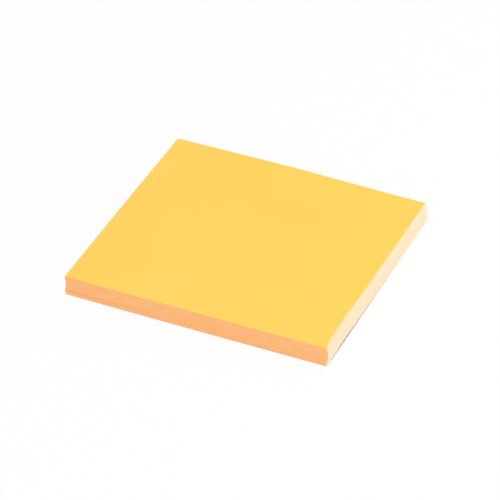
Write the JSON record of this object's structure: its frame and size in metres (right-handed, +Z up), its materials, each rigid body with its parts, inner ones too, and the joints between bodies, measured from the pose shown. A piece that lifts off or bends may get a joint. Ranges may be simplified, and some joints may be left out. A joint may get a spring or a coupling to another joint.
{
  "type": "static note pad",
  "caption": "Square pad of plain film notes in a slightly leaning stack, glued down one side, on a thin back card.",
  "frame": {"origin": "centre of the pad's footprint, on the underside of the back card", "axes": "+X from the free edge to the glued (bound) edge, +Y along the bound edge, +Z up through the stack"},
  "size_m": [0.101, 0.1, 0.0077],
  "materials": {
    "note_film": "satin",
    "padding_glue": "satin",
    "grey_card": "matte"
  },
  "bodies": {
    "root": {"note_sheets": "note_film", "binding_glue": "padding_glue", "back_card": "grey_card"}
  },
  "joints": []
}
